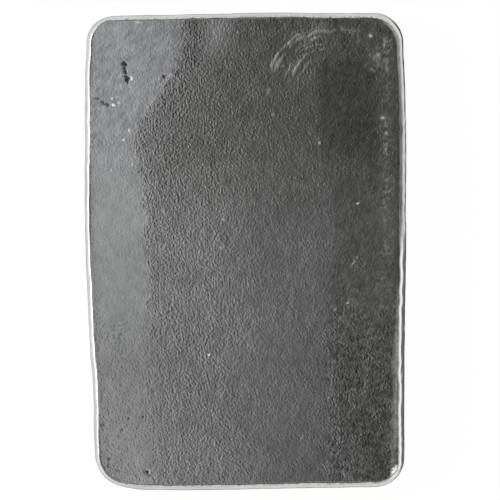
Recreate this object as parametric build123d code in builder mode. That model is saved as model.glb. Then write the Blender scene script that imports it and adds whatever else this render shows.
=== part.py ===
from build123d import *
import os
from math import cos, radians, tan

# Flat cast bar of fine silver, about one kilogram, lying on its poured face.
# Millimetres. +X across the bar, +Y towards the wide end, +Z up to the mould face.
# The origin is on the floor, under the middle of the bar's bounding box.

# Overall size, measured at the rim, the widest line round the wall.
length = 99.6
width = 67.0
thickness = 15.4

# Draft of the mould, which lets the casting drop out.
side_draft = 5.4
end_draft = 7.2

# The outline isn't a true rectangle. Each value is how far a corner stands in from it.
head_left_drop = 0.85
head_right_inset = 0.4
foot_right_inset = 0.4
foot_right_rise = 0.85
foot_left_inset = 2.3

# Where the long walls and the foot wall bend, and how gently.
left_bend_y = 7.6
right_bend_y = 12.8
foot_bend_x = -11.5
left_bend_radius = 400.0
slight_bend_radius = 700.0

# Corner radii, in the order head left, head right, foot right, foot left.
rim_corner_radii = (5.9, 5.5, 6.2, 8.0)
face_corner_radii = (5.0, 6.0, 6.5, 6.8)

# Edges: crisp where metal met the mould floor, and a full meniscus round the poured face.
face_edge_radius = 0.65
meniscus_radius = 2.5

# The poured face sinks as it freezes, and leaves a flat land all round it.
sink_depth = 0.6
land_width = 4.5

# Gas pits in the mould face: from the left wall, from the head wall, mouth, depth.
# The first three run together as a slit, and the next four as a shallow crater.
gas_pits = (
    (8.4, 11.7, 1.1, 0.40),
    (8.8, 13.1, 1.3, 0.55),
    (9.2, 14.5, 1.2, 0.50),
    (3.8, 19.2, 1.4, 0.30),
    (4.9, 20.0, 1.6, 0.40),
    (6.1, 19.8, 1.5, 0.35),
    (7.3, 19.1, 1.2, 0.25),
    (16.8, 14.0, 1.0, 0.35),
    (14.2, 20.6, 0.8, 0.25),
    (13.5, 23.3, 0.8, 0.25),
    (4.5, 85.2, 1.2, 0.30),
    (13.6, 95.4, 0.9, 0.30),
)
pit_sides = 7
pit_lean = 35.0


def foot_outset(draft):
    """How far the wall would meet the floor outside the rim, if no meniscus rounded it."""
    angle = radians(draft)
    return meniscus_radius * (tan(angle) + 1 / cos(angle) - 1)


def wall_corners(side_outset, end_outset):
    """The bar's corners and bends, clockwise from the head's left corner, moved outwards."""
    half_width = width / 2 + side_outset
    half_length = length / 2 + end_outset
    return [
        (-half_width, half_length - head_left_drop),
        (half_width - head_right_inset, half_length),
        (half_width, right_bend_y),
        (half_width - foot_right_inset, foot_right_rise - half_length),
        (foot_bend_x, -half_length),
        (foot_left_inset - half_width, -half_length),
        (-half_width, left_bend_y),
    ]


def wall_radii(corner_radii):
    """The radius at each point of wall_corners."""
    head_left, head_right, foot_right, foot_left = corner_radii
    return [
        head_left,
        head_right,
        slight_bend_radius,
        foot_right,
        slight_bend_radius,
        foot_left,
        left_bend_radius,
    ]


def arc_radius(half_chord, rise):
    """The radius of an arc from half its chord and its rise."""
    return (half_chord**2 + rise**2) / (2 * rise)


side_foot = foot_outset(side_draft)
end_foot = foot_outset(end_draft)
side_top = side_foot - thickness * tan(radians(side_draft))
end_top = end_foot - thickness * tan(radians(end_draft))

# The gas pits, each a small hole with few flat sides that lean in towards its floor.
pits = []
for from_left, from_head, mouth, depth in gas_pits:
    with BuildPart() as pit:
        with BuildSketch(Plane.XY):
            RegularPolygon(radius=mouth / 2, side_count=pit_sides)
        extrude(amount=-depth)
        pit_walls = pit.faces().filter_by(Axis.Z, reverse=True)
        draft(pit_walls, neutral_plane=Plane.XY, angle=-pit_lean)
    place = Location((from_left - width / 2, length / 2 - from_head, thickness))
    pits.append(pit.part.moved(place))

with BuildPart() as ingot:
    # The drafted block, from the poured face up to the mould face.
    with BuildSketch(Plane.XY):
        with BuildLine():
            FilletPolyline(
                wall_corners(side_foot, end_foot),
                radius=wall_radii(rim_corner_radii),
                close=True,
            )
        make_face()
    with BuildSketch(Plane.XY.offset(thickness)):
        with BuildLine():
            FilletPolyline(
                wall_corners(side_top, end_top),
                radius=wall_radii(face_corner_radii),
                close=True,
            )
        make_face()
    loft(ruled=True)
    fillet(ingot.edges().group_by(Axis.Z)[0], radius=meniscus_radius)
    fillet(ingot.edges().group_by(Axis.Z)[-1], radius=face_edge_radius)

    # The sink in the poured face: an arc across the bar, swung round a wider arc along it.
    half_sink_width = width / 2 - land_width
    half_sink_length = length / 2 - land_width
    along_radius = arc_radius(half_sink_length, sink_depth)
    with BuildSketch(Plane.XZ):
        with BuildLine():
            ThreePointArc((-half_sink_width, 0), (0, sink_depth), (half_sink_width, 0))
            Line((half_sink_width, 0), (-half_sink_width, 0))
        make_face()
    revolve(
        axis=Axis((0, 0, sink_depth - along_radius), (1, 0, 0)), mode=Mode.SUBTRACT
    )

    add(pits, mode=Mode.SUBTRACT)

ingot.part.label = "ingot"
os.makedirs("parts", exist_ok=True)
export_step(ingot.part, "parts/ingot.step")
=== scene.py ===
"""A flat cast bar of silver-coloured metal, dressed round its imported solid.

The classes hold their sizes in millimetres and turn them to metres where a mesh, a lamp or the
camera is made. +X runs across the bar, +Y towards its head and +Z out of the mould face.
"""

import logging
import math
from dataclasses import asdict, dataclass
from enum import Enum

import bmesh
import bpy
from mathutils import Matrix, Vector, noise


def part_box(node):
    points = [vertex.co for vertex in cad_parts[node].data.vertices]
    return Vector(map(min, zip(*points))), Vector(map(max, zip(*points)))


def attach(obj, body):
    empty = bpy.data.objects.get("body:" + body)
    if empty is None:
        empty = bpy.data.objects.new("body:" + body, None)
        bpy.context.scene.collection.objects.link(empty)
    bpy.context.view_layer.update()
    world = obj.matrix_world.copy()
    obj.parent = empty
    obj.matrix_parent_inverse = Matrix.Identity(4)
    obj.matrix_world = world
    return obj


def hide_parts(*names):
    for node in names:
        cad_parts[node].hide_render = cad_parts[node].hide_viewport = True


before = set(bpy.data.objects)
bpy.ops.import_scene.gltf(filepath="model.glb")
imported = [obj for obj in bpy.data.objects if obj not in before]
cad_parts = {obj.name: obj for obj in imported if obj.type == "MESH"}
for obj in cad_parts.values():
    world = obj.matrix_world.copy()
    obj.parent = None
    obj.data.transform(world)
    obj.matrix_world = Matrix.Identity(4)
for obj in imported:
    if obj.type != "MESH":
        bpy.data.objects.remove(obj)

MM = 0.001
NODE = "ingot"
BODY = "root"
GRAIN_LAYER = "grain_cells"
TINY = 1e-6
NOISE_GAIN = 1.6
# How much wider and longer the rim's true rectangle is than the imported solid's box.
RIM_GAIN = (0.02, 0.07)

log = logging.getLogger("cast_bar")

Colour = tuple[float, float, float]
Place = tuple[float, float, float]
Curve = tuple[tuple[float, float], ...]
Mesh = bmesh.types.BMesh
Socket = bpy.types.NodeSocket


class Skin(Enum):
    """The three skins of the casting, in the order of the mesh's material slots."""

    MOULD_FACE = 0
    WALL = 1
    POURED_FACE = 2


def ease(value: float, low: float, high: float) -> float:
    """Rise smoothly from 0 at low to 1 at high."""
    share = min(1.0, max(0.0, (value - low) / (high - low)))
    return share * share * (3.0 - 2.0 * share)


def soft_ramp(value: float, half_bend: float) -> float:
    """Give 0 below zero and value above it, with a bend that reaches half_bend to each side."""
    if value <= -half_bend:
        return 0.0
    if value >= half_bend:
        return value
    return (value + half_bend) ** 2 / (4.0 * half_bend)


def bell(value: float, middle: float, spread: float) -> float:
    """Rise to 1 at middle and fall away within about two spreads on each side."""
    return math.exp(-(((value - middle) / spread) ** 2))


def plateau(value: float, low: float, rise: float, fall: float, high: float) -> float:
    """Rise from 0 to 1 between low and rise, and fall back between fall and high."""
    return ease(value, low, rise) * (1.0 - ease(value, fall, high))


def near(distance: float, reach: float) -> float:
    """Fall from 1 at an edge to almost nothing a few reaches away."""
    return math.exp(-max(0.0, distance) / reach)


def mix(low: float, high: float, share: float) -> float:
    """Blend two numbers by a share from 0 to 1."""
    return low + (high - low) * share


def clamp(share: float) -> float:
    """Keep a share between 0 and 1."""
    return min(1.0, max(0.0, share))


def follow(curve: Curve, place: float) -> float:
    """Read a curve that is given by a few points.

    Args:
        curve: pairs of a place and a value, with the places falling.
        place: where the value is wanted.

    Returns:
        The value there, straight between the two nearest points.
    """
    if place >= curve[0][0]:
        return curve[0][1]
    for (upper, high), (lower, low) in zip(curve, curve[1:]):
        if place >= lower:
            return mix(low, high, (place - lower) / (upper - lower))
    return curve[-1][1]


def cloud(x: float, y: float, pitch: float, seed: float) -> float:
    """Smooth random waves from about -1 to 1, a pitch apart."""
    return NOISE_GAIN * noise.noise(Vector((x / pitch, y / pitch, seed)))


def stand(name: str, mesh: Mesh) -> bpy.types.Object:
    """Turn a finished mesh into an object of the scene."""
    data = bpy.data.meshes.new(name)
    mesh.to_mesh(data)
    mesh.free()
    return place(name, data)


def place(name: str, data: bpy.types.ID) -> bpy.types.Object:
    """Put a mesh, a lamp or a camera in the scene."""
    made = bpy.data.objects.new(name, data)
    bpy.context.scene.collection.objects.link(made)
    return made


def square(name: str, side: float) -> bpy.types.Object:
    """Put a flat square in the scene."""
    mesh = bmesh.new()
    bmesh.ops.create_grid(mesh, x_segments=1, y_segments=1, size=side / 2)
    return stand(name, mesh)


@dataclass(frozen=True)
class Outline:
    """The rim of the bar seen from above, the widest line round its wall.

    Corner values run head left, head right, foot right, foot left.
    """

    width: float
    length: float
    head_left_drop: float = 0.85
    head_right_inset: float = 0.4
    foot_right_inset: float = 0.4
    foot_right_rise: float = 0.85
    foot_left_inset: float = 2.3
    left_bend_y: float = 7.6
    right_bend_y: float = 12.8
    foot_bend_x: float = -11.5
    bend_reach: float = 7.0
    left_step_y: float = -23.0
    left_step: float = 0.12
    step_reach: float = 1.5
    waver_height: float = 0.07
    waver_pitch: float = 5.0
    face_shift: float = -0.18
    face_waver: float = 0.09
    face_waver_pitch: float = 1.8
    right_foot_waver: float = 0.1
    foot_lean: float = 0.12
    seed: float = 31.0
    left_stray: Curve = (
        (44.0, 0.45), (37.8, 0.2), (31.5, 0.08), (25.3, 0.14), (19.0, 0.12), (10.7, 0.02),
        (-6.0, -0.04), (-18.5, 0.04), (-22.6, 0.12), (-26.8, 0.23), (-31.0, 0.3),
        (-35.0, 0.19), (-41.4, 0.17), (-43.5, -0.06), (-46.6, -0.2),
    )
    right_stray: Curve = (
        (45.0, 0.2), (41.2, 0.2), (37.0, 0.0), (31.5, -0.11), (25.3, -0.24), (19.0, -0.2),
        (10.7, -0.06), (2.3, -0.18), (-10.0, -0.03), (-18.5, 0.05), (-35.0, 0.03),
        (-41.0, -0.05),
    )
    head_stray: Curve = (
        (28.0, 0.1), (23.9, 0.05), (15.5, -0.02), (11.4, -0.19), (7.2, -0.25), (1.0, -0.3),
        (-5.3, -0.15), (-9.4, -0.2), (-13.6, -0.06), (-17.8, -0.1), (-26.1, -0.04),
        (-30.3, 0.1),
    )
    foot_stray: Curve = (
        (24.0, -0.07), (15.0, 0.0), (-17.8, 0.0), (-21.9, 0.1), (-24.0, 0.18),
        (-26.1, 0.44), (-28.2, 0.36), (-30.3, 0.2),
    )

    def waver(self, place: float, side: float) -> float:
        """How far a wall strays from its line, as every cast wall does."""
        slow = cloud(place, 0.0, self.waver_pitch, self.seed + side)
        quick = cloud(place, 0.0, self.waver_pitch / 4.0, self.seed - side)
        return self.waver_height * (0.7 * slow + 0.3 * quick)

    def left_shift(self, y: float) -> float:
        """How far the left wall stands in at y."""
        run = self.left_bend_y + self.length / 2
        lean = self.foot_left_inset * soft_ramp(self.left_bend_y - y, self.bend_reach) / run
        past = self.left_step_y - y
        step = self.left_step * ease(past, -self.step_reach, self.step_reach)
        step *= ease(y, -self.length / 2, self.left_step_y)
        return lean + step + self.waver(y, 1.0) + follow(self.left_stray, y)

    def right_shift(self, y: float) -> float:
        """How far the right wall stands in at y."""
        up = soft_ramp(y - self.right_bend_y, self.bend_reach)
        down = soft_ramp(self.right_bend_y - y, self.bend_reach)
        head_run = self.length / 2 - self.right_bend_y
        foot_run = self.length / 2 + self.right_bend_y
        lean = self.head_right_inset * up / head_run + self.foot_right_inset * down / foot_run
        return lean + self.waver(y, 2.0) + follow(self.right_stray, y)

    def head_shift(self, x: float) -> float:
        """How far the head wall stands in at x."""
        lean = self.head_left_drop * (self.width / 2 - x) / self.width
        return lean + self.waver(x, 3.0) + follow(self.head_stray, x)

    def foot_shift(self, x: float) -> float:
        """How far the foot wall stands in at x."""
        run = self.width / 2 - self.foot_bend_x
        rise = self.foot_right_rise * soft_ramp(x - self.foot_bend_x, self.bend_reach) / run
        return rise + self.waver(x, 4.0) + follow(self.foot_stray, x)

    def warp(self, x: float, y: float, rise: float) -> tuple[float, float]:
        """Move a point of the true rectangle to its place in the real, uneven outline.

        Args:
            x: place across the true rectangle, from its middle.
            y: place along it, from its middle.
            rise: the point's height, from 0 on the floor to 1 at the mould face.

        Returns:
            The place across and along the real bar.
        """
        to_right = 0.5 + x / self.width
        to_head = 0.5 + y / self.length
        across = x + (1.0 - to_right) * self.left_shift(y) - to_right * self.right_shift(y)
        along = y + (1.0 - to_head) * self.foot_shift(x) - to_head * self.head_shift(x)
        side = 2.0 * to_right - 1.0
        rough = self.right_foot_waver * max(0.0, side) * ease(-y, 0.0, 12.0)
        ragged = (self.face_waver + rough) * ease(rise, 0.6, 0.95)
        end = 2.0 * to_head - 1.0
        across += self.face_shift * rise
        along += self.foot_lean * rise * (1.0 - to_head)
        across += ragged * side**5 * cloud(y, side, self.face_waver_pitch, self.seed)
        along += ragged * end**5 * cloud(x, end, self.face_waver_pitch, self.seed)
        return across, along


@dataclass(frozen=True)
class Ring:
    """One level of the wall: how far it stands in from the rim, its corner radii and its height."""

    side_inset: float
    end_inset: float
    radii: tuple[float, ...]
    height: float
    edge: float


@dataclass(frozen=True)
class Spot:
    """A point of the bar before its relief: its place, and the way that the wall faces there."""

    x: float
    y: float
    faces_x: float
    faces_y: float


@dataclass(frozen=True)
class WallProfile:
    """The section of the wall from the poured face up to the mould face."""

    thickness: float
    side_draft: float = 5.4
    end_draft: float = 6.7
    meniscus_radius: float = 2.5
    edge_radius: float = 0.65
    rim_radii: tuple[float, ...] = (5.6, 6.2, 6.5, 8.8)
    face_radii: tuple[float, ...] = (5.0, 6.2, 4.8, 7.0)
    meniscus_steps: int = 7
    wall_steps: int = 12
    edge_steps: int = 6

    @property
    def steps(self) -> int:
        """The number of bands from the land to the mould face."""
        return self.meniscus_steps + self.wall_steps + self.edge_steps

    def wall_inset(self, draft: float, height: float) -> float:
        """How far the straight wall stands in from the rim at a height."""
        slope = math.radians(draft)
        outset = self.meniscus_radius * (math.tan(slope) + 1.0 / math.cos(slope) - 1.0)
        return height * math.tan(slope) - outset

    def point(self, draft: float, step: int) -> tuple[float, float]:
        """Give the inset and the height of one step of the section.

        Args:
            draft: the wall's draft in degrees.
            step: the step, from 0 at the land's outer line to steps at the mould face.

        Returns:
            How far the step stands in from the rim, and its height.
        """
        slope = math.radians(draft)
        down = math.radians(-90.0)
        up = math.radians(90.0)
        foot_top = self.meniscus_radius * (1.0 + math.sin(slope))
        edge_foot = self.thickness - self.edge_radius * (1.0 - math.sin(slope))
        if step <= self.meniscus_steps:
            angle = mix(down, slope, step / self.meniscus_steps)
            radius = self.meniscus_radius
            return radius - radius * math.cos(angle), radius + radius * math.sin(angle)
        step -= self.meniscus_steps
        if step <= self.wall_steps:
            height = mix(foot_top, edge_foot, step / self.wall_steps)
            return self.wall_inset(draft, height), height
        step -= self.wall_steps
        angle = mix(slope, up, step / self.edge_steps)
        radius = self.edge_radius
        centre = self.wall_inset(draft, edge_foot) + radius * math.cos(slope)
        return centre - radius * math.cos(angle), self.thickness - radius + radius * math.sin(angle)

    def ring(self, step: int) -> Ring:
        """Give one level of the wall as a ring."""
        side_inset, side_height = self.point(self.side_draft, step)
        end_inset, end_height = self.point(self.end_draft, step)
        height = (side_height + end_height) / 2
        share = height / self.thickness
        beyond_wall = side_inset - self.wall_inset(self.side_draft, height)
        radii = tuple(
            mix(rim, face, share) - beyond_wall
            for rim, face in zip(self.rim_radii, self.face_radii)
        )
        edge_step = step - self.meniscus_steps - self.wall_steps
        return Ring(side_inset, end_inset, radii, height, clamp(edge_step / self.edge_steps))


@dataclass(frozen=True)
class Shares:
    """How strongly each look of the skin shows at a point, from 0 to 1.

    The names are those of the mesh's attributes, which the materials read.
    """

    # Several shares paint light: part of pale, dark and shade, the slope shade and glints, and the
    # highlights, shade and flashes painted on walls, pits and face.
    pale: float = 0.0
    dark: float = 0.0
    cool: float = 0.0
    shade: float = 0.0
    grain: float = 1.0
    painted_slope_shade: float = 0.0
    glints: float = 0.0
    painted_highlight: float = 0.0
    dark_spots_and_painted_shade: float = 0.0
    painted_flash: float = 0.0


# How far a patch can reach in its own sizes, and how strongly and finely its edge frays.
PATCH_REACH = 1.3
PATCH_FRAY = 0.35
PATCH_FRAY_PITCH = 0.45


@dataclass(frozen=True)
class Patch:
    """A small ragged ellipse on the mould face: its place, its half sizes and its lean.

    A lean above 0 turns the upper end to the left.
    """

    x: float
    y: float
    across: float
    along: float
    strength: float = 1.0
    lean: float = 0.0
    depth: float = 0.0

    def covers(self, x: float, y: float, margin: float) -> bool:
        """Tell whether a place lies within a margin of the patch."""
        reach = PATCH_REACH * max(self.across, self.along) + margin
        return abs(x - self.x) < reach and abs(y - self.y) < reach

    def share(self, x: float, y: float) -> float:
        """How strongly the patch shows at a place, from 0 outside it to its strength."""
        if not self.covers(x, y, 0.0):
            return 0.0
        turn = math.radians(self.lean)
        dx = x - self.x
        dy = y - self.y
        across = (dx * math.cos(turn) + dy * math.sin(turn)) / self.across
        along = (dy * math.cos(turn) - dx * math.sin(turn)) / self.along
        away = math.hypot(across, along)
        away += PATCH_FRAY * cloud(x, y, PATCH_FRAY_PITCH, self.x + self.y)
        return self.strength * (1.0 - ease(away, 0.3, 1.25))


def patches(*rows: tuple[float, ...]) -> tuple[Patch, ...]:
    """Make a patch of each row, which gives the values in the order of the patch's fields."""
    return tuple(Patch(*row) for row in rows)


# Gas pits: real dips in the face, darkened inside with painted shade.
PITS = patches(
    (-24.8, 38.2, 0.75, 1.0, 1.0, 8.0, 0.1),
    (-24.7, 37.5, 0.6, 0.8, 0.85, 10.0, 0.1),
    (-24.5, 36.6, 0.7, 0.9, 0.9, 12.0, 0.1),
    (-24.2, 35.3, 0.85, 1.3, 1.0, 6.0, 0.12),
    (-30.2, 31.2, 0.55, 0.85, 0.8, 50.0, 0.06),
    (-29.2, 30.4, 0.65, 0.85, 0.8, 50.0, 0.06),
    (-28.2, 29.8, 0.7, 0.85, 0.8, 60.0, 0.08),
    (-16.6, 35.7, 0.7, 0.75, 0.95, -30.0, 0.1),
    (-14.0, 33.0, 0.34, 0.55, 1.0, 0.0, 0.08),
    (-19.3, 29.2, 0.22, 0.6, 1.0, 10.0, 0.08),
    (-20.0, 27.0, 0.26, 0.8, 1.0, -4.0, 0.08),
    (-29.2, -35.5, 0.75, 0.95, 0.7, 10.0, 0.06),
    (-20.0, -45.3, 0.42, 1.1, 1.0, 24.0, 0.1),
    (-20.9, -33.9, 0.36, 0.5, 1.0, 20.0, 0.06),
    (-25.3, -36.4, 0.38, 0.55, 1.0, 20.0, 0.06),
    (-23.9, -34.2, 0.3, 0.65, 1.0, 42.0, 0.06),
)

# Small dark spots on the face, painted dark and matt.
DARK_SPOTS = patches(
    (-29.6, 44.4, 0.2, 0.25, 0.8),
    (-30.8, 42.0, 0.26, 1.3, 0.6),
    (-30.9, 38.8, 0.24, 0.6, 0.6),
    (-31.0, 36.4, 0.22, 0.5, 0.5),
    (-24.2, 39.6, 0.3, 0.3, 0.5),
    (-23.4, 40.1, 0.26, 0.3, 0.5),
    (-22.8, 39.4, 0.22, 0.3, 0.4),
    (-26.5, 39.8, 0.18, 0.4, 0.4),
    (-14.9, 36.5, 0.2, 0.5, 0.7, 10.0),
    (-15.4, 41.6, 0.28, 0.25, 0.5),
    (-21.8, 24.3, 0.2, 0.5, 0.8),
    (-21.8, 17.0, 0.2, 0.6, 0.7),
    (-21.3, 15.4, 0.2, 0.5, 0.7, 20.0),
    (-20.6, 12.4, 0.18, 0.5, 0.7),
    (-21.3, 9.7, 0.26, 0.32, 0.8, 20.0),
    (-29.4, -29.6, 0.4, 3.8, 0.65),
    (-28.9, -39.1, 0.35, 1.1, 0.7, 6.0),
    (-28.3, -40.6, 0.45, 0.8, 0.75),
    (-27.9, -42.5, 0.65, 0.8, 0.8),
    (-28.0, -43.9, 0.6, 0.7, 0.8),
    (-26.8, -44.0, 0.45, 0.7, 0.7, 30.0),
    (-26.0, -43.1, 0.5, 0.5, 0.6),
    (-26.1, -44.9, 0.6, 0.6, 0.7),
    (-27.2, -45.2, 0.5, 0.5, 0.6),
    (-26.1, -30.2, 0.32, 0.55, 0.8, 30.0),
    (-21.5, -27.7, 0.28, 0.45, 0.8),
    (-19.1, -33.9, 0.3, 0.45, 0.8, 20.0),
    (-24.0, -18.7, 0.28, 0.3, 0.7),
    (-17.5, -37.9, 0.25, 0.5, 0.6, 30.0),
    (-15.5, -40.3, 0.25, 0.5, 0.6, 30.0),
)

# Painted flashes: small bright matt flecks and blotches standing in for facets that catch the
# bright studio light.
PAINTED_FLASHES = patches(
    (-22.1, 46.9, 1.2, 0.28, 0.35, -10.0),
    (-22.1, 38.7, 0.2, 0.45, 0.2, -30.0),
    (-23.3, 35.3, 0.24, 0.42, 0.9),
    (-14.7, 40.8, 0.22, 0.22, 0.2),
    (-15.8, 35.4, 0.3, 1.4, 0.24, -35.0),
    (-15.7, 37.9, 0.9, 0.25, 0.12, 15.0),
    (-27.0, 29.9, 0.34, 0.32, 0.9),
    (-27.3, 31.2, 0.3, 0.24, 0.8),
    (-25.8, 30.4, 0.18, 0.36, 0.8),
    (-26.2, 31.5, 0.28, 0.2, 0.5),
    (-23.8, 24.8, 0.2, 0.4, 0.8),
    (-24.9, 22.8, 0.22, 0.26, 0.8),
    (-23.2, 17.6, 0.2, 0.36, 0.6, -30.0),
    (-27.5, 16.6, 0.18, 0.2, 0.5),
    (-17.4, 19.6, 0.42, 0.18, 0.3, 25.0),
    (-20.9, 9.9, 0.18, 0.22, 0.4),
    (-7.4, -21.2, 0.34, 0.34, 0.9),
    (-4.6, 6.4, 0.34, 0.34, 0.35),
    (-6.0, 6.8, 0.25, 0.4, 0.25),
    (-5.1, 0.7, 0.34, 0.4, 0.3),
    (-1.4, -3.6, 0.35, 0.25, 0.12),
    (7.0, 12.1, 0.28, 0.34, 0.25),
    (5.6, 28.1, 0.28, 0.36, 0.3),
    (15.2, 22.2, 0.3, 0.45, 0.35, 20.0),
    (25.6, 44.0, 0.4, 0.42, 0.5),
    (23.1, 43.0, 0.5, 0.5, 0.16, 30.0),
    (28.1, 27.3, 0.45, 0.6, 0.38, -20.0),
    (28.8, 24.2, 0.4, 0.7, 0.3, 20.0),
    (28.6, 20.9, 0.3, 0.6, 0.25, 10.0),
    (27.1, 40.3, 0.5, 0.5, 0.25),
    (28.9, 37.2, 0.3, 1.2, 0.22, 15.0),
    (28.4, 42.6, 0.24, 1.6, 0.2),
    (26.2, 37.0, 0.9, 0.28, 0.2, -25.0),
    (23.1, 9.9, 0.4, 0.24, 0.7),
    (18.4, -12.0, 0.3, 0.3, 0.4),
    (22.1, -2.4, 0.15, 1.2, 0.34, -38.0),
    (22.9, -1.2, 0.14, 0.8, 0.34, -25.0),
    (21.0, -10.6, 0.4, 0.18, 0.5, 15.0),
    (11.7, -37.9, 0.16, 0.7, 0.22, -30.0),
    (26.4, -33.3, 0.2, 0.5, 0.16, 45.0),
    (22.4, -26.3, 0.2, 0.2, 0.25),
    (29.6, -26.7, 0.24, 0.18, 0.35),
    (-19.5, -44.9, 0.18, 0.4, 0.3, 10.0),
    (30.7, -45.0, 0.8, 1.5, 0.95, -35.0),
    (30.1, -46.2, 0.6, 0.8, 0.8, -50.0),
)


@dataclass(frozen=True)
class MouldFace:
    """The upper face: the relief and the skin that the mould's floor left on the metal."""

    width: float
    length: float
    seed: float = 11.3
    swell_pitch: float = 17.0
    swell_height: float = 0.05
    grain_across: float = 0.37
    grain_along: float = 0.49
    foot_grain_along: float = 0.41
    bump_pitch: float = 1.1
    bump_height: float = 0.006
    lean_start_y: float = 42.0
    lean_gain: float = 0.0036
    smooth_edge: Curve = (
        (50.0, -13.2), (40.5, -13.2), (36.0, -15.4), (31.5, -18.0), (27.0, -22.0),
        (14.6, -21.4), (6.4, -20.6), (-10.0, -19.6), (-50.0, -19.0),
    )
    dark_edge: Curve = (
        (50.0, 17.5), (33.0, 16.0), (20.0, 17.0), (0.0, 18.0), (-18.0, 16.6), (-27.0, 19.0),
        (-35.0, 18.8), (-40.0, 19.6), (-45.0, 22.4),
    )
    shoulder_edge: Curve = (
        (50.0, 31.4), (-8.0, 31.1), (-20.0, 29.9), (-50.0, 29.5),
    )
    shoulder_line: Curve = (
        (-4.0, 31.35), (-10.0, 31.25), (-30.0, 31.03), (-42.0, 30.88),
    )
    shoulder_drop: float = 0.18
    shoulder_inset: float = 1.2
    swirl_x: float = 17.1
    swirl_y: float = 33.2
    swirl_radius: float = 12.6
    speckle_x: float = 28.6
    fold_height: float = 0.03
    right_zone: tuple[float, float] = (14.0, 19.0)
    head_zone: tuple[float, float] = (36.0, 41.0)
    foot_zone: tuple[float, float] = (-2.0, 20.0)
    head_inset: float = 1.6
    edge_inset: float = 1.9
    foot_left_inset: float = 2.3
    left_bend_y: float = 7.6

    def wave(self, x: float, y: float, pitch: float, layer: float) -> float:
        """Smooth random waves over the face, with a layer of its own for each look."""
        return cloud(x, y, pitch, self.seed + layer)

    def flow(self, x: float, y: float) -> Vector:
        """Place a point in the grain's own cells, which lean more and more towards the foot."""
        below = max(0.0, self.lean_start_y - y)
        across = x - self.lean_gain / 2 * below * below
        shorter = (self.grain_along / self.foot_grain_along - 1.0) / (2.0 * self.length)
        along = y / self.grain_along * (1.0 - shorter * y)
        return Vector((across / self.grain_across, along, self.seed))

    def smooth(self, x: float, y: float) -> float:
        """The smooth band by the left wall, with its ragged edge."""
        ragged = 0.8 * cloud(x, y, 1.3, self.seed) + 0.9 * self.wave(x, y, 5.0, 1.0)
        edge = follow(self.smooth_edge, y)
        upper = mix(0.7, 1.6, ease(-y, -5.0, 15.0))
        fade = mix(1.0, 0.45, ease(-y, 11.0, 24.0))
        band = fade * (1.0 - ease(x + ragged, edge - upper, edge + upper))
        tongue = bell(x - 0.35 * (y - 45.0), -5.6, 3.4) * ease(y + ragged, 37.5, 43.0)
        return max(band, 0.7 * tongue)

    def dark(self, x: float, y: float) -> float:
        """The dark band by the right wall, and the darker quarter at the head beside it, their
        darkness partly a painted reflection.
        """
        ragged = 0.2 * self.wave(x, y, 1.5, 2.0) + 0.5 * self.wave(x, y, 7.0, 3.0)
        edge = follow(self.dark_edge, y)
        band = ease(x + ragged, edge - 0.5, edge + 0.7)
        quarter = ease(y + ragged, 0.0, 22.0) * ease(x + ragged, -26.0, -2.0)
        return clamp(mix(0.6, 1.0, ease(y, 0.0, 25.0)) * band + 0.9 * quarter * (1.0 - band))

    def arcs(self, x: float, y: float) -> float:
        """The bright folds that curl round the dark quarter, where the metal met itself."""
        dx = x - self.swirl_x
        dy = y - self.swirl_y
        away = math.hypot(min(dx, 0.0), dy)
        if away > self.swirl_radius + 3.0 or dy < -2.0 or dx > 9.0:
            return 0.0
        away += 0.35 * self.wave(x, y, 3.0, 4.0)
        turn = math.degrees(math.atan2(dy, min(dx, 0.0)))
        bundle = plateau(turn, 88.0, 104.0, 150.0, 168.0)
        rim = (1.0 - ease(dx, 2.5, 8.0)) * (1.0 - ease(turn, 150.0, 165.0))
        strokes = self.wave(away / 0.4, turn / 24.0, 1.0, 5.0)
        strokes = ease(strokes, 0.05, 0.4)
        strokes *= 0.45 + 0.55 * ease(self.wave(x, y, 0.7, 26.0), -0.4, 0.3)
        radius = self.swirl_radius
        wide = plateau(away, radius - 7.0, radius - 4.0, radius, radius + 1.2)
        line = 0.8 * bell(away, radius - 0.6, 0.36)
        broken = ease(self.wave(x, y, 1.2, 6.0), -0.6, 0.4)
        return clamp(bundle * wide * strokes + rim * line * broken)

    def speckles(self, x: float, y: float) -> float:
        """The pale blotches and specks that run down beside the right wall from the head."""
        from_line = abs(x - self.speckle_x - 0.6 * self.wave(0.0, y, 6.0, 9.0))
        if from_line > 4.5:
            return 0.0
        fade = mix(1.0, 0.6, ease(-y, -14.0, -2.0)) * ease(y, -16.0, -8.0)
        band = math.exp(-((from_line / 1.3) ** 2)) * fade
        knot = bell(math.hypot(x - 26.6, y - 39.5), 0.0, 2.6)
        fine = ease(self.wave(x, y, 0.6, 10.0), -0.05, 0.5)
        coarse = ease(self.wave(x, y, 2.4, 11.0), -0.3, 0.5)
        return clamp(max(band * (0.4 + 0.6 * coarse), knot) * (0.1 + 0.9 * fine))

    def shoulder_share(self, x: float, y: float) -> float:
        """The rolled shoulder beside the foot half of the right wall, whose paler tone is a painted
        reflection.
        """
        start = follow(self.shoulder_edge, y) + 0.25 * self.wave(x, y, 1.5, 12.0)
        line = follow(self.shoulder_line, y)
        ends = ease(-y, 6.0, 20.0) * (1.0 - 0.8 * ease(x, line - 0.4, line - 0.05))
        return ease(x, start - 0.1, start + 0.4) * ends

    def thin_line(self, x: float, y: float) -> float:
        """The thin dark line along the foot half of the shoulder."""
        line = bell(x, follow(self.shoulder_line, y), 0.26) * plateau(-y, 4.0, 14.0, 37.0, 43.0)
        return line * (0.75 + 0.3 * self.wave(0.0, y, 1.6, 17.0))

    @staticmethod
    def olive(x: float, y: float) -> float:
        """The smooth dark patch inside the folds."""
        ragged = 0.5 * cloud(x, y, 1.6, 3.0)
        across = plateau(x + ragged, 14.9, 16.1, 25.5, 28.0)
        return across * ease(y, 18.0, 24.0) * (1.0 - ease(y + ragged, 37.0, 41.0))

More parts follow.
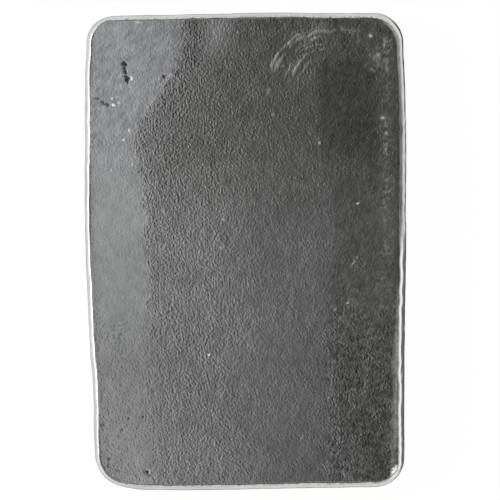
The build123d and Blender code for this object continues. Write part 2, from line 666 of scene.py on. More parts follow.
    def veins(self, x: float, y: float) -> float:
        """The fine pale veins of the dark band, strongest towards the foot."""
        wave = abs(self.wave(1.3 * x - 0.5 * y, y, 1.3, 19.0))
        patchy = ease(self.wave(x, y, 1.3, 20.0), -0.3, 0.5)
        lower = mix(0.14, 0.5, ease(-y, *self.foot_zone))
        return lower * patchy * (1.0 - ease(wave, 0.02, 0.3)) - 0.28 * lower

    def streaks(self, x: float, y: float) -> float:
        """The slanting brushed streaks in the head half of the smooth band."""
        brushed = Vector(((x - 0.8 * y) / 0.8, (0.8 * x + y) / 2.6, self.seed + 6.0))
        brushed += 0.5 * Vector([self.wave(x, y, 3.0, layer) for layer in (27.0, 28.0, 29.0)])
        streaks = 0.28 * noise.noise(brushed) + 0.06 * self.wave(x, y, 1.1, 22.0)
        return streaks * ease(y, 15.0, 28.0)

    def mottle(self, x: float, y: float) -> float:
        """The small light and dark clouds of the skin."""
        mottle = 0.07 * self.wave(x, y, 1.8, 7.0) + 0.03 * self.wave(x, y, 6.0, 8.0)
        mottle += 0.06 * self.wave(1.4 * x, y, 1.1, 23.0)
        blotched = bell(x, -26.1, 1.6) * bell(y, -17.1, 3.2)
        mottle -= 0.5 * blotched * ease(self.wave(x, 0.8 * y, 0.42, 24.0), 0.0, 0.4)
        near_edge = bell(x, follow(self.smooth_edge, y) + 3.5, 3.5) * ease(y, 2.0, 22.0)
        mottle -= 0.24 * near_edge * ease(self.wave(1.9 * x, y, 1.1, 25.0), 0.05, 0.7)
        head_right = ease(y, 33.0, 40.0) * ease(x, 0.0, 6.0)
        return mottle + 0.16 * head_right * self.wave(x, y, 1.5, 21.0)

    def right_tones(self, x: float, y: float) -> float:
        """The spots and veins of the dark band, and the paler strip under the speckles."""
        spotted = mix(0.18, 0.34, ease(-y, *self.foot_zone))
        spotted *= self.wave(1.3 * x - 0.5 * y, y, 0.8, 18.0)
        band = spotted + self.veins(x, y) - 0.09 * ease(-y, 16.0, 26.0)
        strip = 0.08 * bell(x, self.speckle_x, 2.2) * ease(y, -16.0, 0.0)
        return ease(x, *self.right_zone) * band + strip

    def head_tones(self, x: float, y: float) -> float:
        """The broad light and dark places near the head."""
        stained = 0.12 * bell(x, -11.2, 2.6) + 0.16 * bell(x, 9.0, 5.0)
        bright = 0.22 * bell(x, -6.0, 2.4) * ease(y, 40.0, 44.0)
        beside = 0.14 * bell(x, -16.5, 2.0) * ease(y, 35.0, 40.0)
        quarter = 0.09 * ease(y, 14.0, 22.0) * ease(x, -20.0, -15.0)
        olive = 0.15 * self.olive(x, y)
        return ease(y, *self.head_zone) * (bright - stained) + beside - quarter - olive

    def shade(self, x: float, y: float, smooth: float) -> float:
        """How much lighter or darker than its zone a place is."""
        from_head = self.length / 2 - self.head_inset - y
        # Painted shade along the head and left edges of the face.
        edge_shade = -0.25 * near(from_head, 0.5) - 0.12 * near(self.from_left(x, y), 0.6)
        # Painted reflection: the rolled shoulder is painted paler.
        rolled = self.shoulder_share(x, y)
        rolled *= 0.8 + 0.4 * self.wave(x * 3.0, y / 2.0, 1.0, 13.0)
        tones = smooth * self.streaks(x, y) + self.mottle(x, y)
        tones += self.right_tones(x, y) + self.head_tones(x, y) + edge_shade + rolled
        return tones + 1.4 * self.arcs(x, y) + 1.5 * self.speckles(x, y)

    def from_left(self, x: float, y: float) -> float:
        """How far a place lies from the face's left edge, which leans in towards the foot."""
        run = self.left_bend_y + self.length / 2
        lean = self.foot_left_inset * max(0.0, self.left_bend_y - y) / run
        return x + self.width / 2 - self.edge_inset - lean

    def shares(self, x: float, y: float) -> Shares:
        """Give the looks of the skin at a place of the face."""
        smooth = self.smooth(x, y)
        dark = self.dark(x, y)
        arcs = self.arcs(x, y)
        edge = follow(self.smooth_edge, y)
        border = plateau(x, edge - 0.5, edge + 0.8, edge + 2.0, edge + 9.0)
        border *= ease(y, -20.0, 5.0)
        near_left = near(self.from_left(x, y), 0.9)
        right = ease(x, *self.right_zone)
        upper = ease(y, 6.0, 18.0)
        middle = ease(x, -12.0, 8.0)
        left_low = ease(-y, 8.0, 22.0) * (1.0 - ease(x, -21.0, -14.0))
        lower = ease(-y, 4.0, 20.0)
        patchy = 1.0 + 0.35 * self.wave(x, y, 2.6, 14.0)
        rolled = self.shoulder_share(x, y)
        # Painted shade in the pits, and the dark spots.
        pits_and_dark_spots = max(patch.share(x, y) for patch in PITS + DARK_SPOTS)
        # The dark zones are partly a painted reflection, and fade over the rolled shoulder, which
        # is painted paler.
        tarnish = (dark + 0.12 * self.wave(x, y, 3.5, 8.0)) * (1.0 - 0.8 * rolled)
        grain = mix(1.05 - 0.45 * middle, 0.28, smooth) + 0.2 * border + 0.2 * upper
        grain *= 1.0 - 0.2 * right - 0.4 * rolled + 0.9 * right * lower
        grain *= (1.0 - 0.55 * left_low) * (1.0 - 0.5 * self.olive(x, y)) * patchy
        # How strongly the dimples' slopes are painted with shade.
        painted_slope_shade = mix(0.85 - 0.4 * middle - 0.3 * dark, 0.0, smooth)
        painted_slope_shade += 0.4 * border + 0.5 * near_left + 0.4 * left_low
        return Shares(
            # The smooth band is also paler, partly as a painted reflection of the lighter left of
            # the studio.
            pale=clamp(smooth * 0.95 - 0.3 * near_left),
            dark=clamp(tarnish * (1.0 - 0.9 * smooth)),
            cool=ease(y + 1.5 * self.wave(x, y, 4.0, 16.0), 15.0, 20.0),
            shade=self.shade(x, y, smooth),
            grain=grain,
            painted_slope_shade=clamp(painted_slope_shade),
            # How strongly the lit slopes are painted with glints.
            glints=clamp((0.5 * dark + 0.5 * arcs) * patchy),
            # Dark and matt: painted shade in the pits, the dark spots, and the thin dark line by
            # the shoulder.
            dark_spots_and_painted_shade=clamp(max(1.15 * pits_and_dark_spots, self.thin_line(x, y))),
            # Painted flashes of light.
            painted_flash=clamp(max(patch.share(x, y) for patch in PAINTED_FLASHES)),
        )

    def shoulder(self, x: float, y: float) -> float:
        """How far the face rolls down along the right wall."""
        start = follow(self.shoulder_edge, y)
        share = max(0.0, x - start) / (self.width / 2 - self.shoulder_inset - start)
        return self.shoulder_drop * share * share

    def height(self, x: float, y: float) -> float:
        """Add up every relief of the face at a place."""
        dips = sum(pit.depth * ease(pit.share(x, y), 0.35, 1.0) for pit in PITS)
        swell = self.swell_height * cloud(x, y, self.swell_pitch, self.seed)
        share = mix(1.0, 0.25, self.smooth(x, y))
        bumps = self.bump_height * share * self.wave(x, y, self.bump_pitch, 15.0)
        folds = self.fold_height * self.arcs(x, y)
        return swell + bumps + folds - dips - self.shoulder(x, y)


@dataclass(frozen=True)
class WallSkin:
    """The four walls: painted shade in dark bands, strongest low on the right one, and painted
    highlights along the upper edge.

    Each curve runs from the top of the wall down, as pairs of a height and a share.
    """

    thickness: float
    seed: float = 23.0
    # Painted shade: dark bands where the wall would mirror the shadowed floor beside it.
    right_head_painted_shade: Curve = (
        (15.3, 0.85), (15.15, 0.6), (14.9, 0.4), (13.5, 0.2), (12.0, 0.05), (8.4, 0.0),
        (7.8, 0.9), (4.6, 0.9), (3.8, 0.2), (0.0, 0.1),
    )
    right_foot_painted_shade: Curve = (
        (15.39, 0.5), (15.36, 0.15), (15.3, 0.0), (14.5, 0.0), (13.8, 0.9), (2.6, 1.0),
        (2.0, 0.2), (0.0, 0.1),
    )
    tip_painted_shade: Curve = (
        (15.3, 0.5), (14.6, 0.3), (13.4, 0.1), (12.0, 0.0), (8.2, 0.0), (7.4, 1.0),
        (2.4, 1.0), (2.0, 0.1), (0.0, 0.1),
    )
    left_corner_painted_shade: Curve = (
        (10.6, 0.0), (9.4, 1.0), (2.6, 1.0), (2.0, 0.1), (0.0, 0.1),
    )
    corner_painted_shade: Curve = (
        (8.6, 0.0), (7.0, 0.9), (3.4, 0.9), (2.6, 0.1), (0.0, 0.1),
    )

    def shares(self, spot: Spot, ring: Ring) -> Shares:
        """Give the looks of the skin at a point of the wall."""
        right = ease(spot.faces_x, 0.75, 0.98)
        left = ease(-spot.faces_x, 0.35, 0.8)
        corner = clamp(bell(spot.faces_x, 0.7, 0.25) * bell(-spot.faces_y, 0.7, 0.25))
        head_half = ease(spot.y, -2.0, 8.0)
        waver = 0.5 * cloud(spot.x + spot.y, 0.0, 3.0, self.seed)
        waver += 2.6 * right * cloud(spot.y, ring.height, 1.9, self.seed + 1.0)
        level = ring.height + waver * ease(self.thickness - ring.height, 0.3, 3.0)
        head_band = follow(self.right_head_painted_shade, level)
        band = mix(follow(self.right_foot_painted_shade, level), head_band, head_half)
        dirt = ease(cloud(spot.x, spot.y, 1.4, self.seed + level / 6.0), 0.25, 0.9)
        left_foot = bell(-spot.faces_x, 0.7, 0.3) * bell(-spot.faces_y, 0.7, 0.3)
        # Painted shade, darker towards the foot of the wall.
        low_wall_shade = 0.65 * (1.0 - ease(level, 4.0, 7.0))
        plain = clamp(0.25 * dirt + low_wall_shade * ease(level, 0.8, 1.6))
        plain = mix(plain, follow(self.left_corner_painted_shade, level), left_foot)
        band *= 1.0 + 0.2 * cloud(spot.y, 1.5 * ring.height, 2.4, self.seed + 2.0)
        dark_spots_and_painted_shade = mix(plain, band, right)
        tip = ease(spot.y, 26.0, 39.0) * ease(spot.faces_x, 0.4, 0.85)
        uneven = 0.8 * cloud(spot.y, ring.height, 1.9, self.seed + 3.0)
        dark_spots_and_painted_shade = mix(dark_spots_and_painted_shade, follow(self.tip_painted_shade, ring.height + uneven), tip)
        dark_spots_and_painted_shade = mix(dark_spots_and_painted_shade, follow(self.corner_painted_shade, ring.height), corner)
        # Painted highlights: a bright line on the left edge's fillet, and bright bands high on the
        # right wall, its tip and its corners.
        edge = math.sin(math.pi * ring.edge) ** 0.5 if 0.0 < ring.edge < 1.0 else 0.0
        # Painted shade: a dark line at the inner edge next to the face.
        inner_edge_shade = ease(ring.edge, 0.45, 0.8) * (1.0 - 0.8 * right * (1.0 - head_half))
        bright = right * (1.0 - head_half) * ease(level, 13.0, 13.6)
        upper_left = 0.8 * left_foot * ease(level, 10.0, 11.5)
        upper_tip = tip * plateau(level, 7.8, 8.4, 11.5, 14.0)
        upper_corner = corner * ease(level, 8.4, 9.0)
        painted_highlight = max(0.85 * left * edge, bright, upper_corner, upper_left, upper_tip)
        painted_highlight *= 1.0 - inner_edge_shade
        return Shares(
            dark=inner_edge_shade * mix(0.85, 0.6, left),
            grain=0.6,
            painted_slope_shade=0.2,
            painted_highlight=clamp(painted_highlight),
            dark_spots_and_painted_shade=clamp(dark_spots_and_painted_shade),
        )


@dataclass(frozen=True)
class PouredFace:
    """The sunken face that was open to the air while the metal froze."""

    width: float
    length: float
    seed: float = 4.7
    sink_depth: float = 0.6
    land_width: float = 4.5
    ripple_height: float = 0.03
    ripple_pitch: float = 2.6

    def sink(self, x: float, y: float) -> float:
        """The share of the full sink at a place."""
        across = x / (self.width / 2 - self.land_width)
        along = y / (self.length / 2 - self.land_width)
        return max(0.0, 1.0 - across * across - along * along)

    def ripple(self, x: float, y: float) -> float:
        """The faint rings left as the skin froze, from 0 to 1 and only inside the land."""
        turn = math.hypot(x, y * 0.7) / self.ripple_pitch + cloud(x, y, 12.0, self.seed)
        return (0.5 + 0.5 * math.sin(2.0 * math.pi * turn)) * min(1.0, self.sink(x, y) * 4.0)

    def height(self, x: float, y: float) -> float:
        """How far the face stands above the floor at a place."""
        return self.sink_depth * self.sink(x, y) + self.ripple_height * self.ripple(x, y)

    def shares(self, x: float, y: float) -> Shares:
        """Give the looks of the skin at a place of the poured face."""
        shade = 0.12 * self.ripple(x, y) + 0.08 * cloud(x, y, 4.0, self.seed + 1.0)
        dark = 0.3 * self.sink(x, y)
        return Shares(dark=dark, shade=shade, grain=0.35, painted_slope_shade=0.1, glints=0.2)


class Tree:
    """A thin helper on a node tree, so that a material reads as a short list of steps."""

    def __init__(self, tree: bpy.types.NodeTree) -> None:
        """Keep the tree that the nodes go into."""
        self.tree = tree

    def add(self, kind: str, **settings: object) -> bpy.types.Node:
        """Add one node.

        Args:
            kind: the node's type name.
            settings: the node's own properties, and values or sockets for its inputs by name.

        Returns:
            The new node.
        """
        node = self.tree.nodes.new(kind)
        for name, value in settings.items():
            if hasattr(node, name):
                setattr(node, name, value)
            else:
                self.feed(node.inputs[name.replace("_", " ")], value)
        return node

    def combine(self, kind: str, *values: object, **settings: object) -> Socket:
        """Add a node, give its first inputs their values in order, and hand back its output."""
        node = self.add(kind, **settings)
        for target, value in zip(node.inputs, values):
            self.feed(target, value)
        return node.outputs[0]

    def feed(self, target: Socket, value: object) -> None:
        """Give an input its value: a link from a socket, a colour or a number."""
        if isinstance(value, Socket):
            self.tree.links.new(value, target)
        elif isinstance(value, tuple):
            target.default_value = (*value, 1.0)
        else:
            target.default_value = value

    def maths(self, operation: str, first: object, second: object) -> Socket:
        """Combine two values, each a socket or a number, with a Math node."""
        return self.combine("ShaderNodeMath", first, second, operation=operation)

    def blend(self, share: object, low: object, high: object) -> Socket:
        """Mix two colours, each a socket or a colour, by a share."""
        node = self.add("ShaderNodeMix", data_type="RGBA", Factor=share)
        self.feed(node.inputs[6], low)
        self.feed(node.inputs[7], high)
        return node.outputs[2]

    def spread(self, value: object, start: float, end: float) -> Socket:
        """Spread a value from 0 at start to 1 at end, with soft ends."""
        kind = "ShaderNodeMapRange"
        return self.combine(kind, value, start, end, interpolation_type="SMOOTHSTEP")

    def share(self, name: str) -> Socket:
        """Read one of the mesh's shares."""
        return self.add("ShaderNodeAttribute", attribute_name=name).outputs["Fac"]

    def mixed(self, share: object, first: object, second: object) -> Socket:
        """Mix two shaders by a share."""
        return self.combine("ShaderNodeMixShader", share, first, second)

    def surface(self, shader: object, kind: str = "ShaderNodeOutputMaterial") -> None:
        """Send a shader to the output of the tree."""
        self.feed(self.add(kind).inputs["Surface"], shader)


def empty_tree(owner: bpy.types.ID) -> Tree:
    """Give a material or a world an empty node tree."""
    owner.use_nodes = True
    owner.node_tree.nodes.clear()
    return Tree(owner.node_tree)


def new_material(name: str) -> tuple[bpy.types.Material, Tree]:
    """Make a material with an empty node tree."""
    made = bpy.data.materials.new(name)
    return made, empty_tree(made)


def new_group(
    name: str, inputs: dict[str, object], outputs: dict[str, str]
) -> bpy.types.NodeTree:
    """Make an empty shader group with named sockets.

    Args:
        name: the group's name.
        inputs: each input's name and its starting value: a number, a colour or None for a vector.
        outputs: each output's name and its socket type.

    Returns:
        The group, with its input and output nodes in place.
    """
    group = bpy.data.node_groups.new(name, "ShaderNodeTree")
    kinds = {type(None): "NodeSocketVector", tuple: "NodeSocketColor", float: "NodeSocketFloat"}
    for label, value in inputs.items():
        kind = kinds[type(value)]
        socket = group.interface.new_socket(label, in_out="INPUT", socket_type=kind)
        if value is not None:
            socket.default_value = (*value, 1.0) if isinstance(value, tuple) else value
    for label, kind in outputs.items():
        group.interface.new_socket(label, in_out="OUTPUT", socket_type=kind)
    group.nodes.new("NodeGroupInput")
    group.nodes.new("NodeGroupOutput")
    return group


def grain_group() -> bpy.types.NodeTree:
    """The dimples of a cast skin: their height, and their shading painted as if lit from the left.

    Returns:
        The group. It takes a place in the grain's own cells.
    """
    group = new_group(
        "cast_grain",
        {"Cells": None, "Fineness": 2.0, "Reach": 0.3},
        dict.fromkeys(("Height", "Relief", "Shaded Slopes", "Lit Slopes"), "NodeSocketFloat"),
    )
    tree = Tree(group)
    inside = group.nodes["Group Input"]
    outside = group.nodes["Group Output"]
    heights = []
    for side in (-1.0, 0.0, 1.0):
        reach = tree.maths("MULTIPLY", inside.outputs["Reach"], side)
        step = tree.combine("ShaderNodeCombineXYZ", reach)
        cells = inside.outputs["Cells"]
        cells = tree.combine("ShaderNodeVectorMath", cells, step, operation="ADD")
        dimples = tree.add("ShaderNodeTexNoise", Vector=cells, Scale=1.0, Roughness=0.6)
        tree.feed(dimples.inputs["Detail"], inside.outputs["Fineness"])
        heights.append(dimples.outputs["Fac"])
    left, middle, right = heights
    # Painted shading: how the height rises across each dimple, high where it faces the left.
    relief = tree.maths("SUBTRACT", right, left)
    tree.feed(outside.inputs["Height"], middle)
    tree.feed(outside.inputs["Relief"], relief)
    # The slopes that face away from and towards the light, for painted shade and painted glints.
    tree.feed(outside.inputs["Shaded Slopes"], tree.spread(relief, -0.06, -0.2))
    tree.feed(outside.inputs["Lit Slopes"], tree.spread(relief, 0.16, 0.3))
    return group


def tarnish_group() -> bpy.types.NodeTree:
    """Uneven tarnish over a metal skin, as a colour and a share."""
    group = new_group(
        "tarnish",
        {
            "Coordinates": None,
            "Clean": (0.5, 0.5, 0.5),
            "Tarnished": (0.3, 0.3, 0.3),
            "Cloud Scale": 60.0,
            "Amount": 0.5,
        },
        {"Color": "NodeSocketColor", "Share": "NodeSocketFloat"},
    )
    tree = Tree(group)
    inside = group.nodes["Group Input"]
    outside = group.nodes["Group Output"]
    clouds = tree.add("ShaderNodeTexNoise", Detail=5.0, Roughness=0.6)
    tree.feed(clouds.inputs["Vector"], inside.outputs["Coordinates"])
    tree.feed(clouds.inputs["Scale"], inside.outputs["Cloud Scale"])
    spread = tree.spread(clouds.outputs["Fac"], 0.35, 0.7)
    share = tree.maths("MULTIPLY", spread, inside.outputs["Amount"])
    colour = tree.blend(share, inside.outputs["Clean"], inside.outputs["Tarnished"])
    tree.feed(outside.inputs["Color"], colour)
    tree.feed(outside.inputs["Share"], share)
    return group


@dataclass(frozen=True)
class CastFinish:
    """The finish of one skin of the casting: its tones, tarnish, gloss and grain."""

    name: str
    clean: Colour
    tarnished: Colour
    pale: Colour
    dark: Colour
    tarnish_amount: float
    cloud_scale: float
    smooth_roughness: float
    dull_roughness: float
    grain_depth: float
    grain_contrast: float
    fineness: float = 2.0
    edge_tint: float = 1.0
    relief_share: float = 2.2
    slope_shade_depth: float = 0.62
    matt_roughness: float = 0.85
    matt_gloss: float = 0.2
    darkest: float = 0.1
    cool: Colour = (0.522, 0.528, 0.545)
    # These four tones paint light: glints, highlights on the walls, shade in pits and low on the
    # walls along with dark spots, and small flashes on the face.
    glint: Colour = (0.85, 0.85, 0.84)
    painted_highlight: Colour = (0.92, 0.92, 0.91)
    dark_spots_and_painted_shade: Colour = (0.022, 0.022, 0.019)
    painted_flash: Colour = (0.75, 0.75, 0.74)

    def colour(self, tree: Tree, stain: bpy.types.Node, dimples: bpy.types.Node) -> Socket:
        """Lay the tones of the skin over each other.

        Args:
            tree: the material's tree.
            stain: the node of the tarnish group.
            dimples: the node of the grain group.

        Returns:
            The socket of the finished colour.
        """
        pale = tree.blend(tree.share("cool"), self.pale, self.cool)
        colour = tree.blend(tree.share("pale"), stain.outputs["Color"], pale)
        # The dark share is partly a painted reflection on the mould face, and painted shade at the
        # walls' inner edge.
        colour = tree.blend(tree.share("dark"), colour, self.dark)
        rise = tree.maths("SUBTRACT", dimples.outputs["Height"], 0.5)
        # Painted shading: the relief lights each dimple from the left and shades its right side, on
        # top of the tone that follows its height.
        relief = tree.maths("MULTIPLY", dimples.outputs["Relief"], self.relief_share)
        depth = tree.maths("MULTIPLY", tree.share("grain"), self.grain_contrast)
        gain = tree.maths("MULTIPLY", tree.maths("ADD", rise, relief), depth)
        gain = tree.maths("ADD", gain, 1.0)
        gain = tree.maths("ADD", gain, tree.share("shade"))
        # Painted shade on the slopes of the dimples that face away from the light.
        low = tree.maths("MULTIPLY", dimples.outputs["Shaded Slopes"], tree.share("painted_slope_shade"))
        gain = tree.maths("SUBTRACT", gain, tree.maths("MULTIPLY", low, self.slope_shade_depth))
        gain = tree.maths("MAXIMUM", gain, self.darkest)
        colour = tree.combine("ShaderNodeVectorMath", colour, operation="SCALE", Scale=gain)
        # Painted glints on the slopes of the dimples that face the light.
        high = tree.maths("MULTIPLY", dimples.outputs["Lit Slopes"], tree.share("glints"))
        colour = tree.blend(high, colour, self.glint)
        # Painted highlights, dark spots with painted shade, and painted flashes go over the colour.
        for share, tone in (("painted_highlight", self.painted_highlight), ("dark_spots_and_painted_shade", self.dark_spots_and_painted_shade), ("painted_flash", self.painted_flash)):
            colour = tree.blend(tree.share(share), colour, tone)
        return colour

    def material(
        self, grain: bpy.types.NodeTree, tarnish: bpy.types.NodeTree
    ) -> bpy.types.Material:
        """Build the skin's material.

        Args:
            grain: the shared group of the dimples.
            tarnish: the shared group of uneven tarnish.

        Returns:
            The material.
        """
        made, tree = new_material(self.name)
        stain = tree.add(
            "ShaderNodeGroup",
            node_tree=tarnish,
            Coordinates=tree.add("ShaderNodeTexCoord").outputs["Object"],
            Clean=self.clean,
            Tarnished=self.tarnished,
            Cloud_Scale=self.cloud_scale,
            Amount=self.tarnish_amount,
        )
        cells = tree.add("ShaderNodeAttribute", attribute_name=GRAIN_LAYER).outputs["Vector"]
        dimples = tree.add(
            "ShaderNodeGroup", node_tree=grain, Cells=cells, Fineness=self.fineness
        )
        # The dark spots with painted shade, and the painted flashes, are matt.
        matt = tree.maths("MAXIMUM", tree.share("dark_spots_and_painted_shade"), tree.share("painted_flash"))
        dull = tree.add(
            "ShaderNodeMapRange",
            Value=stain.outputs["Share"],
            To_Min=self.smooth_roughness,
            To_Max=self.dull_roughness,
        )
        chalky = tree.maths("MULTIPLY", matt, self.matt_roughness)
        rise = tree.maths("MULTIPLY", dimples.outputs["Height"], tree.share("grain"))
        bump = tree.add("ShaderNodeBump", Distance=self.grain_depth * MM, Height=rise)
        metal = tree.add(
            "ShaderNodeBsdfPrincipled",
            Base_Color=self.colour(tree, stain, dimples),
            Metallic=tree.maths("SUBTRACT", 1.0, matt),
            Roughness=tree.maths("MAXIMUM", dull.outputs[0], chalky),
            Normal=bump.outputs["Normal"],
            Specular_IOR_Level=self.matt_gloss,
            Specular_Tint=(self.edge_tint,) * 3,
        )
        tree.surface(metal.outputs["BSDF"])
        return made


FINISHES = {
    Skin.MOULD_FACE: CastFinish(
        name="mould_face_skin",
        clean=(0.455, 0.455, 0.455),
        tarnished=(0.385, 0.385, 0.383),
        pale=(0.515, 0.53, 0.524),
        dark=(0.302, 0.302, 0.289),
        tarnish_amount=1.0,
        cloud_scale=70.0,
        smooth_roughness=0.13,
        dull_roughness=0.19,
        grain_depth=0.03,
        grain_contrast=0.7,
        fineness=3.0,
    ),
    Skin.WALL: CastFinish(
        name="drafted_wall_skin",
        clean=(0.62, 0.62, 0.61),
        tarnished=(0.5, 0.5, 0.49),
        pale=(0.8, 0.8, 0.79),
        dark=(0.36, 0.36, 0.35),
        tarnish_amount=0.8,
        cloud_scale=90.0,
        smooth_roughness=0.18,
        dull_roughness=0.3,
        grain_depth=0.02,
        grain_contrast=0.8,
        edge_tint=0.72,
        # The tone of the painted shade on the walls.
        dark_spots_and_painted_shade=(0.07, 0.068, 0.062),
    ),
    Skin.POURED_FACE: CastFinish(
        name="poured_face_skin",
        clean=(0.6, 0.6, 0.59),
        tarnished=(0.42, 0.42, 0.41),
        pale=(0.7, 0.7, 0.69),
        dark=(0.35, 0.35, 0.34),
        tarnish_amount=0.9,
        cloud_scale=60.0,
        smooth_roughness=0.25,
        dull_roughness=0.4,
        grain_depth=0.03,
        grain_contrast=1.0,
    ),
}


@dataclass
class CastBar:
    """The one casting: drafted walls, a mould face on top and a sunken poured face below."""

    outline: Outline
    profile: WallProfile
    mould_face: MouldFace
    wall_skin: WallSkin
    poured_face: PouredFace
    name: str = "cast_bar"
    cells_across: int = 62
    cells_along: int = 96
    top_cuts_across: int = 3
    top_cuts_along: int = 2
    bottom_cuts_along: int = 1
    pit_margin: float = 0.5
    face_insets: tuple[float, float] = (1.8, 2.0)
    grain_pitch: float = 0.8
    wall_grain_rise: float = 0.6

    def block(self) -> Mesh:
        """Make a cube cut into cells, with finer cells on its two faces.

        Returns:
            The mesh, each of whose coordinates runs from -1 to 1.
        """
        mesh = bmesh.new()
        bmesh.ops.create_cube(mesh, size=2.0)
        cells = (self.cells_across, self.cells_along, self.profile.steps)
        for axis, count in enumerate(cells):
            self.cut(mesh, axis, count - 1, level=None)
        for face in mesh.faces:
            face.material_index = self.skin_of(face).value
            face.smooth = True
        self.cut(mesh, 0, self.top_cuts_across, level=1.0)
        self.cut(mesh, 1, self.top_cuts_along, level=1.0)
        self.cut(mesh, 1, self.bottom_cuts_along, level=-1.0)
        self.refine(mesh)
        return mesh

    def refine(self, mesh: Mesh) -> None:
        """Cut the cells of the mould face once more round each gas pit."""
        half_width = self.outline.width / 2 - self.face_insets[0]
        half_length = self.outline.length / 2 - self.face_insets[1]
        chosen = set()
        for face in mesh.faces:
            if face.material_index != Skin.MOULD_FACE.value:
                continue
            middle = face.calc_center_median()
            x = middle.x * half_width
            y = middle.y * half_length
            if any(pit.covers(x, y, self.pit_margin) for pit in PITS):
                chosen.update(face.edges)
        bmesh.ops.subdivide_edges(mesh, edges=list(chosen), cuts=1, use_grid_fill=True)

    @staticmethod
    def skin_of(face: bmesh.types.BMFace) -> Skin:
        """Tell which skin a face of the cut cube belongs to."""
        height = face.calc_center_median().z
        if height > 1.0 - TINY:
            return Skin.MOULD_FACE
        if height < TINY - 1.0:
            return Skin.POURED_FACE
        return Skin.WALL

    @staticmethod
    def cut(mesh: Mesh, axis: int, cuts: int, level: float | None) -> None:
        """Cut every edge that runs along one axis.

        Args:
            mesh: the cube.
            axis: 0, 1 or 2 for X, Y or Z.
            cuts: how many cuts each edge gets.
            level: the height of the one face whose edges are cut, or None for all edges.
        """
        chosen = []
        for edge in mesh.edges:
            start, end = edge.verts
            along = abs(start.co[axis] - end.co[axis]) > TINY
            if level is not None:
                along = along and max(abs(start.co.z - level), abs(end.co.z - level)) < TINY
            if along:
                chosen.append(edge)
        bmesh.ops.subdivide_edges(mesh, edges=chosen, cuts=cuts, use_grid_fill=True)

    def spot(self, across: float, along: float, ring: Ring) -> Spot:
        """Find the place of a point of the cut cube inside one ring.

        Args:
            across: from -1 at the left wall to 1 at the right wall.
            along: from -1 at the foot to 1 at the head.
            ring: the level that the point lies in.

        Returns:
            Its place on the bar, and the way that the nearest wall faces.
        """
        half_width = self.outline.width / 2 - ring.side_inset
        half_length = self.outline.length / 2 - ring.end_inset
        x = across * half_width
        y = along * half_length
        head_left, head_right, foot_right, foot_left = ring.radii
        if along > 0:
            radius = head_right if across > 0 else head_left
        else:
            radius = foot_right if across > 0 else foot_left
        over_x = abs(x) - (half_width - radius)
        over_y = abs(y) - (half_length - radius)
        if over_x > 0 and over_y > 0:
            pull = max(over_x, over_y) / math.hypot(over_x, over_y)
            x = math.copysign(half_width - radius + over_x * pull, x)
            y = math.copysign(half_length - radius + over_y * pull, y)
        facing = Vector((max(over_x, 0.0), max(over_y, 0.0))).normalized()
        x, y = self.outline.warp(x, y, ring.height / self.profile.thickness)
        return Spot(x, y, math.copysign(facing.x, across), math.copysign(facing.y, along))

    def shape(self, mesh: Mesh) -> None:
        """Move every point of the cut cube to its place on the bar, and paint its shares."""
        rings = [self.profile.ring(step) for step in range(self.profile.steps + 1)]
        layers = {name: mesh.verts.layers.float.new(name) for name in asdict(Shares())}
        cells = mesh.verts.layers.float_vector.new(GRAIN_LAYER)
        for vert in mesh.verts:
            across, along, level = vert.co
            step = round((level + 1.0) / 2.0 * self.profile.steps)
            ring = rings[step]
            spot = self.spot(across, along, ring)
            height = ring.height
            if step == self.profile.steps:
                shares = self.mould_face.shares(spot.x, spot.y)
                height += self.mould_face.height(spot.x, spot.y)
                vert[cells] = self.mould_face.flow(spot.x, spot.y)
            elif step == 0:
                shares = self.poured_face.shares(spot.x, spot.y)
                height += self.poured_face.height(spot.x, spot.y)
                vert[cells] = Vector((spot.x, spot.y, 0.0)) / self.grain_pitch
            else:
                shares = self.wall_skin.shares(spot, ring)
                rise = height / self.wall_grain_rise * self.grain_pitch
                vert[cells] = Vector((spot.x, spot.y, rise)) / self.grain_pitch
            for name, share in asdict(shares).items():
                vert[layers[name]] = share
            vert.co = Vector((spot.x, spot.y, height)) * MM

    def build(self) -> bpy.types.Object:
        """Build the casting and hand it to the frame.

        Returns:
            The finished piece.
        """
        mesh = self.block()
        self.shape(mesh)
        piece = stand(self.name, mesh)
        self.dress(piece)
        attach(piece, BODY)
        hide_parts(NODE)
        return piece

    def dress(self, piece: bpy.types.Object) -> None:
        """Give the piece its three skins."""
        grain = grain_group()
        tarnish = tarnish_group()
        for skin in Skin:
            piece.data.materials.append(FINISHES[skin].material(grain, tarnish))


@dataclass(frozen=True)
class Card:
    """A flat studio card that the metal mirrors. It is out of the camera's sight."""

    name: str
    centre: Place
    size: tuple[float, float]
    strength: float
    upright: bool = False

    def build(self) -> None:
        """Hang the card in its place."""
        card = square(self.name, 1.0)
        card.location = Vector(self.centre) * MM
        card.rotation_euler = (math.radians(90.0) if self.upright else 0.0, 0.0, 0.0)
        card.scale = (self.size[0] * MM, self.size[1] * MM, 1.0)
        card.visible_camera = False
        card.visible_diffuse = False
        card.visible_shadow = False
        glow, tree = new_material(self.name)
        tree.surface(tree.add("ShaderNodeEmission", Strength=self.strength).outputs[0])
        card.data.materials.append(glow)


CARDS = (
    Card("pale_ceiling_card", (-347.0, 0.0, 900.0), (602.0, 1400.0), 0.62),
    Card("light_grey_ceiling_card", (-26.0, 0.0, 900.0), (40.0, 1400.0), 0.30),
    Card("grey_ceiling_card", (16.0, 0.0, 900.0), (44.0, 1400.0), 0.24),
    Card("dark_ceiling_card", (135.0, 0.0, 900.0), (194.0, 1400.0), 0.15),
    Card("side_ceiling_card", (436.0, 0.0, 900.0), (408.0, 1400.0), 0.45),
    Card("dark_head_flat", (0.0, 700.0, 650.0), (1290.0, 500.0), 0.14, upright=True),
    Card("dark_foot_flat", (0.0, -700.0, 650.0), (1290.0, 500.0), 0.16, upright=True),
)


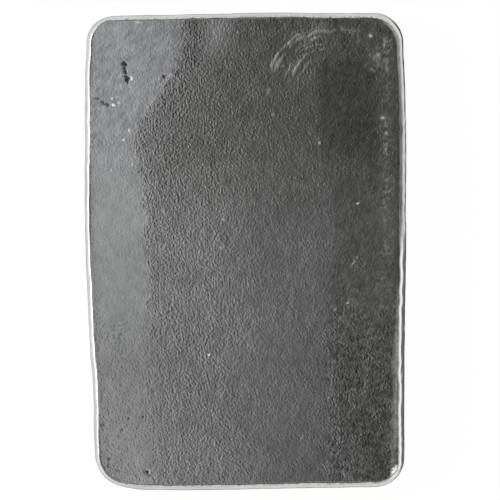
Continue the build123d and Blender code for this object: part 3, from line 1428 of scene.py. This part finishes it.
@dataclass
class Studio:
    """The pale floor, the soft light and the camera straight above the bar."""

    thickness: float
    floor_size: float = 6000.0
    floor_tone: float = 0.92
    floor_glow_share: float = 0.96
    sky_strength: float = 0.9
    key_power: float = 6.0
    key_size: tuple[float, float] = (500.0, 800.0)
    key_place: Place = (-700.0, 100.0, 800.0)
    camera_x: float = 0.97
    camera_y: float = 0.27
    camera_rise: float = 700.0
    lens: float = 246.4
    sensor: float = 36.0
    nearest: float = 50.0
    farthest: float = 20000.0

    def floor(self) -> None:
        """Lay the floor, which keeps the bar's shadow."""
        floor = square("studio_floor", self.floor_size * MM)
        floor.data.materials.append(self.floor_material())

    def floor_material(self) -> bpy.types.Material:
        """Mix a matt floor with a plain white glow that only the camera and mirrors see."""
        made, tree = new_material("studio_floor")
        matt = tree.add("ShaderNodeBsdfDiffuse", Color=(self.floor_tone,) * 3)
        glow = tree.add("ShaderNodeEmission", Strength=1.0)
        share = tree.maths("MULTIPLY", self.seen_directly(tree), self.floor_glow_share)
        tree.surface(tree.mixed(share, matt.outputs[0], glow.outputs[0]))
        return made

    @staticmethod
    def seen_directly(tree: Tree) -> Socket:
        """Tell whether the camera, a mirror or glass sees the surface."""
        path = tree.add("ShaderNodeLightPath").outputs
        mirrored = tree.maths("MAXIMUM", path["Is Glossy Ray"], path["Is Transmission Ray"])
        return tree.maths("MAXIMUM", path["Is Camera Ray"], mirrored)

    def sky(self) -> None:
        """Surround the scene with even white light."""
        world = bpy.data.worlds.new("studio_sky")
        bpy.context.scene.world = world
        tree = empty_tree(world)
        light, white = (
            tree.add("ShaderNodeBackground", Strength=strength, Color=(1.0, 1.0, 1.0)).outputs[0]
            for strength in (self.sky_strength, 1.0)
        )
        tree.surface(tree.mixed(self.seen_directly(tree), light, white), "ShaderNodeOutputWorld")

    def key_lamp(self) -> None:
        """Hang one soft lamp high on the left."""
        lamp = bpy.data.lights.new("key_lamp", "AREA")
        lamp.energy = self.key_power
        lamp.shape = "RECTANGLE"
        lamp.size = self.key_size[0] * MM
        lamp.size_y = self.key_size[1] * MM
        holder = place("key_lamp", lamp)
        holder.location = Vector(self.key_place) * MM
        holder.rotation_euler = (-holder.location).to_track_quat("-Z", "Y").to_euler()

    def camera(self) -> None:
        """Set the camera straight above the bar, with the head at the top of the picture."""
        data = bpy.data.cameras.new("camera")
        data.lens = self.lens
        data.sensor_width = self.sensor
        data.clip_start = self.nearest * MM
        data.clip_end = self.farthest * MM
        holder = place("camera", data)
        height = self.thickness + self.camera_rise
        holder.location = Vector((self.camera_x, self.camera_y, height)) * MM
        bpy.context.scene.camera = holder

    def build(self) -> None:
        """Set up the whole studio."""
        self.camera()
        self.sky()
        self.key_lamp()
        self.floor()
        for card in CARDS:
            card.build()
        bpy.context.scene.view_settings.view_transform = "Standard"


def main() -> None:
    logging.basicConfig(level=logging.INFO, format="%(name)s: %(message)s")
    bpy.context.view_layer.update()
    low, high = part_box(NODE)
    size = (high - low) / MM
    width = size.x + RIM_GAIN[0]
    length = size.y + RIM_GAIN[1]
    Studio(thickness=size.z).build()
    bar = CastBar(
        outline=Outline(width=width, length=length),
        profile=WallProfile(thickness=size.z),
        mould_face=MouldFace(width=width, length=length),
        wall_skin=WallSkin(thickness=size.z),
        poured_face=PouredFace(width=width, length=length),
    )
    piece = bar.build()


if __name__ == "__main__":
    main()
